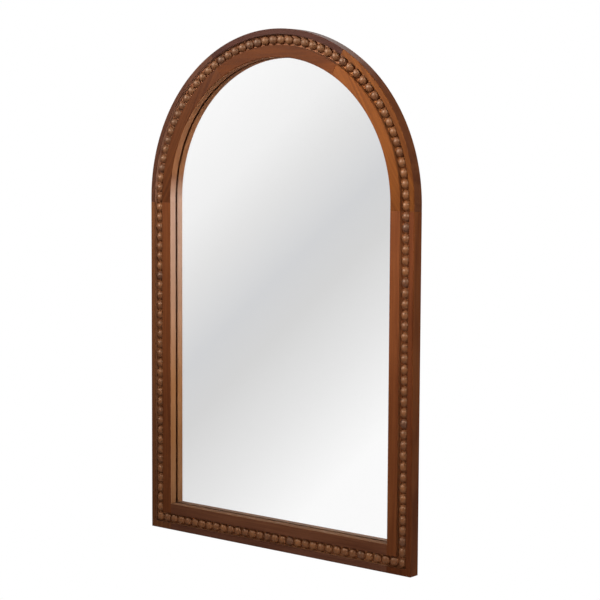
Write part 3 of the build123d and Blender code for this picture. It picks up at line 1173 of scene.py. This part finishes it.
@dataclass(frozen=True)
class ScrewForm:
    """A wood screw with a cross recess, its axis on Z and its seat at the origin."""

    style: HeadStyle
    head_height_mm: float
    recess_depth_mm: float
    head_radius_mm: float = 3.0
    shank_radius_mm: float = 1.5
    length_mm: float = 12.0
    point_radius_mm: float = 0.3
    tip_mm: float = 2.5
    recess_reach_mm: float = 1.75
    recess_width_mm: float = 0.62
    recess_floor_share: float = 0.45
    recess_taper: float = 0.6
    flat_share: float = 0.62
    brim_share: float = 0.18
    dome_steps: int = 6
    sides: int = 24

    def profile(self) -> list[Pair]:
        """The turned outline from the point to the flat of the head, radius and height in mm."""
        radius, height = self.head_radius_mm, self.head_height_mm
        point = [
            (self.point_radius_mm, -self.length_mm),
            (self.shank_radius_mm, self.tip_mm - self.length_mm),
        ]
        if self.style is HeadStyle.COUNTERSUNK:
            rim = [(radius - 0.08, -0.14), (radius - 0.06, -0.05), (radius - 0.14, 0.0)]
            return point + [(self.shank_radius_mm, -height)] + rim
        flat, brim = self.flat_share, self.brim_share
        dome = [
            (radius * (flat + (1 - flat) * cos(angle)), height * (brim + (1 - brim) * sin(angle)))
            for angle in steps(0.0, pi / 2, self.dome_steps)
        ]
        return point + [(self.shank_radius_mm, 0.0), (radius, 0.0)] + dome

    def cross(self, share: float, height: float) -> list[Point]:
        """The outline of the cross recess at one height.

        Args:
            share: Its reach as a share of that at its mouth.
            height: The height in mm.

        Returns:
            Its points, in mm.
        """
        reach = self.recess_reach_mm * share
        half = self.recess_width_mm / 2 * (1 - self.recess_taper * (1 - share))
        points = []
        for turn in steps(0.0, 1.5 * pi, 3):
            for x, y in ((reach, -half), (reach, half), (half, half)):
                points.append((x * cos(turn) - y * sin(turn), x * sin(turn) + y * cos(turn), height))
        return points

    def mesh(self) -> Mesh:
        """The screw as a closed mesh, in metres."""
        form = bmesh.new()
        rows = add_bands(form, [
            [(x, y, height) for x, y in circle((0.0, 0.0), radius, self.sides)]
            for radius, height in self.profile()
        ])
        point, rim = rows[0], rows[-1]
        top = self.profile()[-1][1]
        mouth, pit = add_bands(form, [
            self.cross(1.0, top), self.cross(self.recess_floor_share, top - self.recess_depth_mm)
        ])
        edges = [
            form.edges.get((loop[index - 1], loop[index]))
            for loop in (rim, mouth)
            for index in range(len(loop))
        ]
        bmesh.ops.triangle_fill(form, use_beauty=True, edges=edges)
        for end in (point, pit):
            form.faces.new(end)
        bmesh.ops.scale(form, vec=(MM, MM, MM), verts=form.verts)
        return keep_form(form, bpy.data.meshes.new(self.style.value + "_screw"))


@dataclass
class Fasteners:
    """The screws of the backing board and of the hangers."""

    layout: Layout
    backing_inset: float = 38.0 * MM
    stile_shares: tuple[float, ...] = (0.12, 0.5, 0.88)
    foot_shares: tuple[float, ...] = (-0.6, 0.0, 0.6)
    arch_shares: tuple[float, ...] = (0.1, 0.3, 0.5, 0.7, 0.9)
    hanger_drops: tuple[float, ...] = (20.0 * MM, 31.0 * MM)
    strap_thickness: float = 1.0 * MM
    sharp_angle: float = 34.0

    def tree(self) -> GeometryGraph:
        """The tree that sets one screw on each point, driven to its own turn."""
        graph = GeometryGraph("Screw set")
        spots, screw, seed, finish = graph.entries(
            {"Spots": "Geometry", "Screw": "Object", "Seed": "Int", "Finish": "Material"}
        )
        form = graph.node("GeometryNodeObjectInfo", inputs={"Object": screw}, output="Geometry")
        points = graph.node("GeometryNodeMeshToPoints", inputs={"Mesh": spots})
        least, most = 2, 3
        spin = graph.node(
            "FunctionNodeRandomValue", {"data_type": "FLOAT"}, {least: 0.0, most: pi, "Seed": seed}, output=1
        )
        screws = graph.node(
            "GeometryNodeInstanceOnPoints",
            inputs={"Points": points, "Instance": form, "Rotation": graph.combine(-pi / 2, spin)},
        )
        graph.close(screws, finish)
        return graph

    def backing_spots(self) -> list[Point]:
        """The places of the screws round the backing board."""
        layout = self.layout
        reach = layout.half_width - self.backing_inset
        stile = layout.stile_top - layout.foot
        spots = [
            (side.value * reach, layout.foot + share * stile) for side in Side for share in self.stile_shares
        ]
        spots += [(share * reach, layout.foot + self.backing_inset) for share in self.foot_shares]
        for angle in (share * pi for share in self.arch_shares):
            spots.append((reach * cos(angle), layout.springline + reach * sin(angle)))
        return [(x, layout.back, z) for x, z in spots]

    def hanger_spots(self) -> list[Point]:
        """The places of the screws through the straps."""
        depth = self.layout.back + self.strap_thickness
        pivots = [hanger_pivot(side) for side in Side]
        return [(pivot.x, depth, pivot.z - drop) for pivot in pivots for drop in self.hanger_drops]

    def build(self) -> None:
        """Builds and dresses both sets of screws."""
        graph = self.tree()
        countersunk = ScrewForm(HeadStyle.COUNTERSUNK, head_height_mm=1.6, recess_depth_mm=1.1)
        pan = ScrewForm(HeadStyle.PAN, head_height_mm=1.8, recess_depth_mm=1.2)
        zinc = ZincPlate("Yellow zinc", tone(224, 204, 146), tone(186, 162, 108), roughness=0.4)
        finish = zinc.material()
        sets = {
            "backing_screws": (countersunk, self.backing_spots()),
            "hanger_screws": (pan, self.hanger_spots()),
        }
        for seed, (node, (form, spots)) in enumerate(sets.items()):
            sample = link_object(node + "_sample", form.mesh())
            values = {"Screw": sample, "Seed": seed, "Finish": finish}
            piece = graph.grow(node + "_driven", spots, [], values)
            bpy.data.objects.remove(sample)
            piece.data.set_sharp_from_angle(angle=radians(self.sharp_angle))
            seat_piece(piece, "frame", [node])


def hanger_pivot(side: Side) -> Vector:
    """The axis of a hanger ring, from its joint."""
    for joint in frame["joints"]:
        if joint["name"] == side.word + "_ring_swing":
            return Vector(joint["pos_m"])
    raise ValueError("no joint for the " + side.word + " ring")


@dataclass
class Back:
    """The backing board, the bumpers and the hidden dowels."""

    layout: Layout
    glazing: Glazing
    fasteners: Fasteners
    board_edge: float = 0.25 * MM
    hole: float = 3.02 * MM
    hole_steps: int = 24
    board_sharp_angle: float = 30.0
    bumper_sides: int = 48
    bumper_sharp_angle: float = 40.0
    nose_share: float = 0.84
    round_share: float = 0.14
    skirt_share: float = 0.8
    nose_steps: int = 4

    def board(self) -> Mesh:
        """The board with a hole for each screw head."""
        low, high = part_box("backing_board")
        loops = [self.glazing.outline(high.x, low.z)]
        for x, _, z in self.fasteners.backing_spots():
            loops.append(arc((x, z), self.hole, (0.0, -2 * pi), self.hole_steps)[:-1])
        settings = {
            "dimensions": "2D",
            "fill_mode": "BOTH",
            "extrude": (high.y - low.y) / 2 - self.board_edge,
            "bevel_depth": self.board_edge,
            "bevel_resolution": 1,
            "offset": -self.board_edge,
        }
        mesh = trace("backing_board_cut", [[(x, z, 0.0) for x, z in loop] for loop in loops], settings)
        middle = (0.0, (low.y + high.y) / 2, 0.0)
        mesh.transform(Matrix.Translation(middle) @ Matrix.Rotation(pi / 2, 4, "X"))
        form = bmesh.new()
        form.from_mesh(mesh)
        bmesh.ops.remove_doubles(form, verts=form.verts, dist=MERGE_DISTANCE)
        soften(keep_form(form, mesh), self.board_sharp_angle)
        return mesh

    def bumper(self, node: str) -> Mesh:
        """A moulded rubber bumper with a rounded nose and a small dimple.

        Args:
            node: The solid whose place it takes.

        Returns:
            The mesh.
        """
        low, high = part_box(node)
        radius = (high.x - low.x) / 2
        rise = high.y - low.y
        nose = radius * self.nose_share
        corner = rise * self.round_share
        profile = [(radius, 0.0), (radius - (radius - nose) * self.skirt_share, rise * self.skirt_share)]
        profile += arc((nose - corner, rise - corner), corner, (0.0, pi / 2), self.nose_steps)
        profile += [(nose * 0.42, rise), (nose * 0.3, rise - 0.6 * MM), (nose * 0.1, rise - 0.8 * MM)]
        middle = ((low.x + high.x) / 2, (low.z + high.z) / 2)
        loops = [
            [(x, low.y + depth, z) for x, z in circle(middle, reach, self.bumper_sides)]
            for reach, depth in profile
        ]
        mesh = loft(node + "_moulded", loops)
        soften(mesh, self.bumper_sharp_angle)
        return mesh

    def build(self) -> None:
        """Builds the board and bumpers and dresses the dowels."""
        board = Hardboard("Hardboard", tone(104, 74, 50), tone(142, 106, 74))
        stand_in(link_object("backing_board_cut", self.board()), "backing_board", board.material())
        rubber = SoftPlastic(
            "Bumper rubber", tone(44, 40, 38), tone(62, 57, 54), skin_mm=0.35, roughness=0.7
        ).material()
        for node in ("bumper_" + side.word for side in Side):
            stand_in(link_object(node + "_moulded", self.bumper(node)), node, rubber)
        beech = BareBeech("Bare beech", tone(214, 182, 140), tone(184, 146, 104)).material()
        for node, solid in frame["nodes"].items():
            if node.startswith("dowels_"):
                dress(solid, beech)


@dataclass
class Hangers:
    """The strap hangers and the rings that swing in them."""

    layout: Layout
    width: float = 13.0 * MM
    thickness: float = 1.0 * MM
    tail: float = 37.0 * MM
    bore: float = 1.5 * MM
    curl: float = radians(285.0)
    curl_steps: int = 30
    corner_steps: int = 8
    edge_width_mm: float = 0.14
    edge_segments: int = 2
    edge_angle: float = 35.0
    wire: float = 1.2 * MM
    half_ring: float = 10.0 * MM
    leg: float = 4.0 * MM
    ring_corner: float = 2.0 * MM
    ring_corner_steps: int = 8
    bow_steps: int = 32

    def strap(self, side: Side) -> Mesh:
        """A flat strap with rounded lower corners and its upper end curled round the ring.

        Args:
            side: The side of the mirror that it is on.

        Returns:
            The mesh, with each station across the strap as a loop.
        """
        pivot = hanger_pivot(side)
        base = self.layout.back
        corner = self.width / 3
        stations: list[tuple[float, Pair, Pair]] = []
        for angle in steps(0.0, pi / 2, self.corner_steps):
            run = corner * (1 - cos(angle))
            half = self.width / 2 - corner + sqrt(max(corner**2 - (corner - run) ** 2, 0.0))
            height = pivot.z - self.tail + run
            stations.append((half, (base, height), (base + self.thickness, height)))
        outer = self.bore + self.thickness
        middle = base + outer
        for turn in steps(0.0, self.curl, self.curl_steps):
            near, far = (
                (middle - radius * cos(turn), pivot.z + radius * sin(turn)) for radius in (outer, self.bore)
            )
            stations.append((self.width / 2, near, far))
        loops = [
            [(pivot.x + x, y, z) for x, (y, z) in ((-half, near), (half, near), (half, far), (-half, far))]
            for half, near, far in stations
        ]
        mesh = loft("strap_" + side.word + "_pressed", loops)
        mesh.shade_smooth()
        return mesh

    def ring(self, side: Side) -> Mesh:
        """A bent wire ring: a straight bar with two small corners, and a round bow."""
        pivot = hanger_pivot(side)
        corner = self.ring_corner
        first = arc((self.half_ring - corner, -corner), corner, (pi / 2, 0.0), self.ring_corner_steps)
        bow = arc((0.0, -self.leg), self.half_ring, (0.0, -pi), self.bow_steps)
        last = [(-x, z) for x, z in reversed(first)]
        loop = [(pivot.x + x, pivot.y, pivot.z + z) for x, z in first + bow + last]
        settings = {"dimensions": "3D", "bevel_depth": self.wire, "bevel_resolution": 4}
        mesh = trace("ring_" + side.word + "_bent", [loop], settings)
        mesh.shade_smooth()
        return mesh

    def build(self) -> None:
        """Builds and dresses both hangers."""
        zinc = ZincPlate("Bright zinc", tone(226, 227, 228), tone(190, 192, 195), roughness=0.42)
        finish = zinc.material()
        for side in Side:
            node = "strap_" + side.word
            strap = link_object(node + "_pressed", self.strap(side))
            ease_edges(strap, self.edge_width_mm, self.edge_segments, self.edge_angle)
            stand_in(strap, node, finish)
            body = "ring_" + side.word
            stand_in(link_object(body + "_bent", self.ring(side)), "d_" + body, finish, body)


@dataclass(frozen=True)
class View:
    """The camera of the photograph, fitted to the frame's outline."""

    place: Point = (1.9525101, -2.3399173, 0.1558878)
    lens_mm: float = 103.76455
    sensor_mm: float = 36.0
    yaw: float = 0.6862201923823794
    pitch: float = -0.09257876880491235
    roll: float = 0.005241555505341633

    def axes(self) -> tuple[Vector, Vector, Vector]:
        """The right, up and forward directions of the camera."""
        right = Vector((cos(self.yaw), sin(self.yaw), 0.0))
        level = cos(self.pitch)
        forward = Vector((-sin(self.yaw) * level, cos(self.yaw) * level, sin(self.pitch)))
        up = right.cross(forward)
        rolled_right = right * cos(self.roll) + up * sin(self.roll)
        rolled_up = up * cos(self.roll) - right * sin(self.roll)
        return rolled_right, rolled_up, forward

    def mirrored_diagonal(self) -> Point:
        """The direction from upper left to lower right of the picture, as the mirror turns it."""
        right, up, _ = self.axes()
        diagonal = (right - up).normalized()
        return (diagonal.x, -diagonal.y, diagonal.z)

    def build(self) -> None:
        """Makes the camera and sets it as the scene's."""
        right, up, forward = self.axes()
        data = bpy.data.cameras.new("view")
        data.lens = self.lens_mm
        data.sensor_width = self.sensor_mm
        data.dof.use_dof = False
        camera = link_object("view", data)
        turn = Matrix((right, up, -forward)).transposed().to_4x4()
        camera.matrix_world = Matrix.Translation(self.place) @ turn
        bpy.context.scene.camera = camera


@dataclass(frozen=True)
class Lamp:
    """A soft lamp aimed at the mirror, with its width and height."""

    name: str
    place: Point
    target: Point
    size: Pair
    power: float
    spread: float = 180.0
    mirrored: bool = True

    def build(self) -> None:
        """Makes the lamp."""
        data = bpy.data.lights.new(self.name, "AREA")
        data.shape = "RECTANGLE"
        data.size, data.size_y = self.size
        data.energy = self.power
        data.spread = radians(self.spread)
        lamp = link_object(self.name, data)
        lamp.location = self.place
        aim = Vector(self.target) - Vector(self.place)
        lamp.rotation_euler = aim.to_track_quat("-Z", "Y").to_euler()
        lamp.visible_camera = False
        lamp.visible_transmission = False
        lamp.visible_glossy = self.mirrored


LAMPS = (
    Lamp("key", (-1.3, -1.7, 1.1), (0.1, 0.0, 0.45), size=(1.4, 0.6), power=9.8, spread=58.0),
    Lamp("fill", (1.8, -1.4, 1.45), (0.1, 0.0, 0.45), size=(1.2, 0.6), power=7.4, spread=58.0),
    Lamp("bounce", (1.1, -1.3, -1.0), (0.1, 0.0, -0.3), size=(1.4, 1.0), power=7.5, mirrored=False),
    Lamp("rim", (-0.94, 2.0, 1.6), (0.1, 0.0, 0.1), size=(1.2, 1.2), power=7.5),
    Lamp("back_light", (0.5, 2.6, 0.3), (0.0, 0.0, -0.1), size=(1.8, 1.8), power=26.0, mirrored=False),
    Lamp("back_sheen", (0.0, 2.9, -0.5), (0.0, 0.0, -0.1), size=(1.6, 1.6), power=14.0),
)


@dataclass
class Studio:
    """The white room: its sky, lamps and floor."""

    ambient: float = 0.2
    gloss: float = 0.06
    band_half_width: float = 0.13
    band: tuple[tuple[float, Colour], ...] = (
        (0.05, tone(254, 254, 254)),
        (0.2, tone(245, 245, 245)),
        (0.3, tone(231, 231, 231)),
        (0.43, tone(214, 215, 217)),
        (0.52, tone(217, 217, 217)),
        (0.67, tone(234, 234, 234)),
        (0.845, WHITE),
    )
    floor_drop: float = 0.9
    floor_radius: float = 2.7
    floor_sides: int = 96
    glow_start: float = 0.7
    mottle: Speckle = Speckle((400.0, 400.0, 400.0))

    def sky(self, view: View) -> None:
        """Fills the room: white to the camera, a soft grey band to the mirror, dim to the wood.

        Args:
            view: The camera, whose diagonal the band crosses.
        """
        world = bpy.data.worlds.new("white_room")
        bpy.context.scene.world = world
        world.use_nodes = True
        graph = Graph(world.node_tree)
        ray = graph.node("ShaderNodeTexCoord", output="Generated")
        dot = {"operation": "DOT_PRODUCT"}
        along = graph.node("ShaderNodeVectorMath", dot, {0: ray, 1: view.mirrored_diagonal()}, "Value")
        band = graph.ramp(along / (2 * self.band_half_width) + 0.5, self.band)
        path = graph.node("ShaderNodeLightPath", output="Is Camera Ray")
        through = path.sibling("Is Transmission Ray")
        seen = path.most(through)
        gloss = path.sibling("Is Glossy Ray")
        strength = seen + (1.0 - seen) * (gloss * self.gloss + (1.0 - gloss) * self.ambient)
        inputs = {"Color": graph.mix(through, WHITE, band), "Strength": strength}
        light = graph.node("ShaderNodeBackground", inputs=inputs)
        graph.node("ShaderNodeOutputWorld", inputs={"Surface": light})

    def floor(self, foot: float) -> None:
        """Lays a round white floor below the mirror, white to the camera where no shadow falls.

        Args:
            foot: The height of the mirror's lower edge.
        """
        graph = ShaderGraph("Pale floor")
        stops = [(0.3, tone(236, 236, 236)), (0.7, tone(240, 240, 240))]
        colour = graph.ramp(graph.noise(self.mottle), stops)
        diffuse = graph.node("ShaderNodeBsdfDiffuse", inputs={"Color": colour})
        path = graph.node("ShaderNodeLightPath", output="Is Camera Ray")
        seen = path.most(path.sibling("Is Transmission Ray"))
        across, deep, _ = graph.split(graph.place())
        reach = (across * across + deep * deep) ** 0.5
        strength = seen * (reach.rise(self.glow_start, self.floor_radius * 0.9) * 0.5 + 0.5)
        glow = graph.node("ShaderNodeEmission", inputs={"Color": WHITE, "Strength": strength})
        both = graph.node("ShaderNodeAddShader", inputs={0: diffuse, 1: glow})
        graph.node("ShaderNodeOutputMaterial", inputs={"Surface": both})
        rim = circle((0.0, 0.0), self.floor_radius, self.floor_sides)
        mesh = bpy.data.meshes.new("floor")
        mesh.from_pydata([(x, y, foot - self.floor_drop) for x, y in rim], [], [list(range(len(rim)))])
        floor = link_object("floor", mesh)
        dress(floor, graph.material)

    def build(self, layout: Layout, view: View) -> None:
        """Makes the sky, the lamps and the floor."""
        self.sky(view)
        self.floor(layout.foot)
        for lamp in LAMPS:
            lamp.build()
        bpy.context.scene.view_settings.view_transform = "Standard"


def main() -> None:
    """Builds the mirror's pieces in order, then the camera and the studio."""
    logging.basicConfig(level=logging.INFO, format="%(name)s %(message)s")
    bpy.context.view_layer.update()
    layout = Layout.measured()
    glazing = Glazing(layout)
    fasteners = Fasteners(layout)
    FrameBoards(layout).build()
    BeadRuns(layout).build()
    glazing.build()
    Back(layout, glazing, fasteners).build()
    fasteners.build()
    Hangers(layout).build()
    view = View()
    view.build()
    Studio().build(layout, view)


if __name__ == "__main__":
    main()
